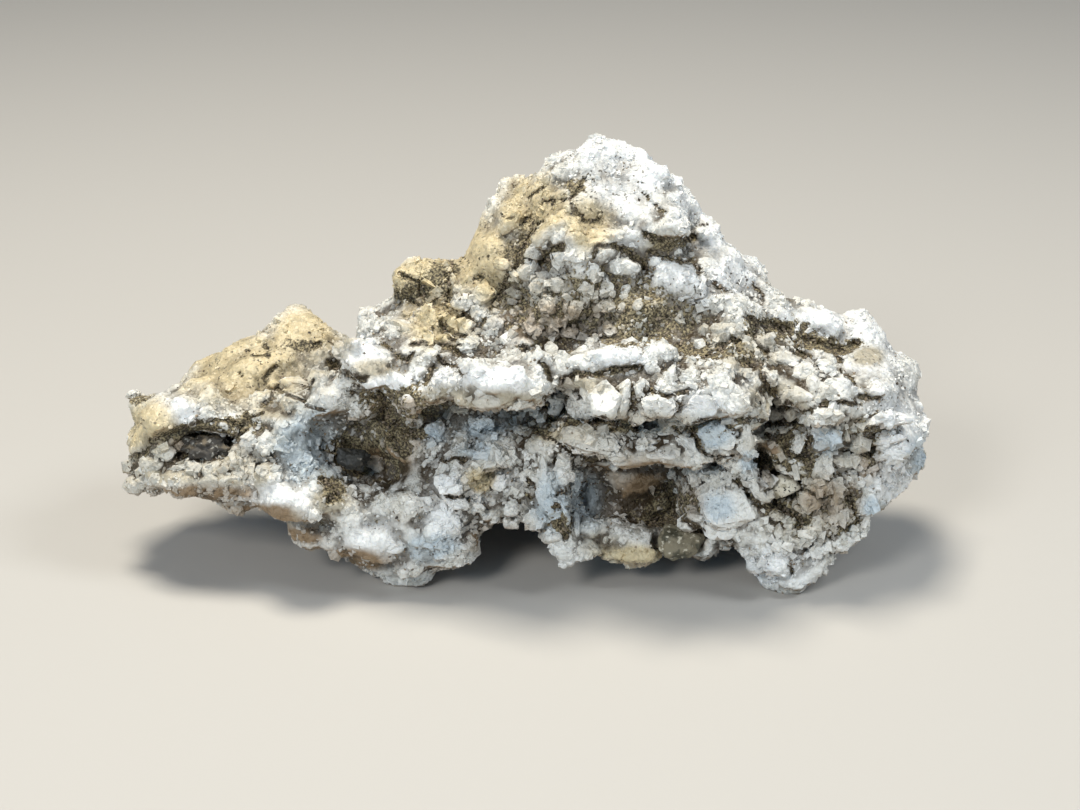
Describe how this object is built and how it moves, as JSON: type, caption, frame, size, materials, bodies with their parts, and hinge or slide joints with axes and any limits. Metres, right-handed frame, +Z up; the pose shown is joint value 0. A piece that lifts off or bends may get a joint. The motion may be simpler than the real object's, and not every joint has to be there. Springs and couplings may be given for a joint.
{
  "type": "gypsum crust specimen",
  "caption": "Rough lump of white gypsum crust with a plated overhanging ledge, a long low arm, a sandy hollow and small embedded stones, resting on short knobbly feet.",
  "frame": {"origin": "middle of the bounding box in plan, at the level of the flat soles it rests on", "axes": "+X along the lump towards the blunt right end, -Y towards the plated ledge and the hollows, +Z up"},
  "size_m": [0.0626, 0.0256, 0.0324],
  "materials": {
    "gypsum": "sugary white crystals with cream stains and dark sand in the hollows, dull with small glints",
    "dark_stone": "dull dark grey stone",
    "green_grey_pebble": "dull grey-green rounded pebble",
    "speckled_pebble": "dull pale pebble with dark specks"
  },
  "bodies": {
    "root": {"gypsum_mass": "gypsum", "dark_stone_left": "dark_stone", "dark_stone_middle": "dark_stone", "round_pebble_low": "green_grey_pebble", "speckled_pebble": "speckled_pebble"}
  },
  "joints": []
}
